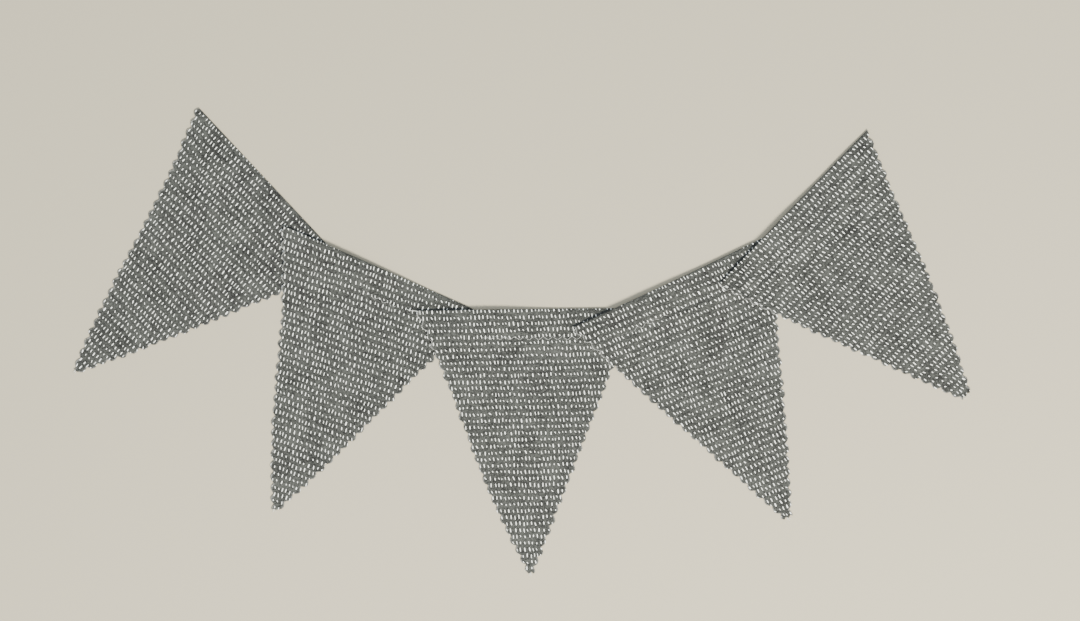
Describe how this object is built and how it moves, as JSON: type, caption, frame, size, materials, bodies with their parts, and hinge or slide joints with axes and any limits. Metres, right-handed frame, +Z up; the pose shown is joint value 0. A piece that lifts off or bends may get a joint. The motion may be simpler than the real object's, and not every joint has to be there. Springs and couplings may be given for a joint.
{
  "type": "fabric bunting",
  "caption": "Bunting of grey cotton triangles with pinked sides and a stitched top hem, laid flat face up in an arc with the corners overlapping.",
  "frame": {"origin": "middle of the whole outline, on the surface that the pennants lie on", "axes": "+X along the arc from the first pennant to the last, +Z up out of the surface, and the pennants' tips point towards -Y"},
  "size_m": [0.4048, 0.2098, 0.0067],
  "materials": {
    "printed_cotton": "matt plain-woven cotton with a pale printed dash repeat"
  },
  "bodies": {
    "root": {"pennant_1": "printed_cotton", "pennant_2": "printed_cotton", "pennant_3": "printed_cotton", "pennant_4": "printed_cotton", "pennant_5": "printed_cotton"}
  },
  "joints": []
}
